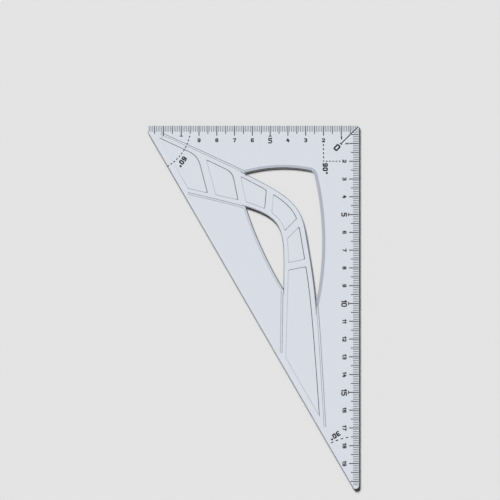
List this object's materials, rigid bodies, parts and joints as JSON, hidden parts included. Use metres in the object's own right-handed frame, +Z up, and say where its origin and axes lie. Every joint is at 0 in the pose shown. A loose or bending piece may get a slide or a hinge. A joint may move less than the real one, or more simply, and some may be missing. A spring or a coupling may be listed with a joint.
{
  "type": "set square",
  "caption": "Clear 60-degree set square with a cranked finger grip across its opening, two graduated edges and angle marks.",
  "frame": {"origin": "the right-angle corner, where both scales read zero, on the underside of the plate", "axes": "the short edge runs along -X and the long edge along -Y; +Z is up, out of the printed face"},
  "size_m": [0.1189, 0.2042, 0.0021],
  "materials": {
    "clear_plastic": "polished, clear with a faint blue tint",
    "black_ink": "printed, matt"
  },
  "bodies": {
    "root": {"plate": "clear_plastic", "short_scale_mm_marks": "black_ink", "short_scale_half_cm_marks": "black_ink", "short_scale_cm_marks": "black_ink", "long_scale_mm_marks": "black_ink", "long_scale_half_cm_marks": "black_ink", "long_scale_cm_marks": "black_ink", "zero_pointer": "black_ink", "right_angle_dashes": "black_ink", "angle_60_dashes": "black_ink", "angle_30_dashes": "black_ink"}
  },
  "joints": []
}
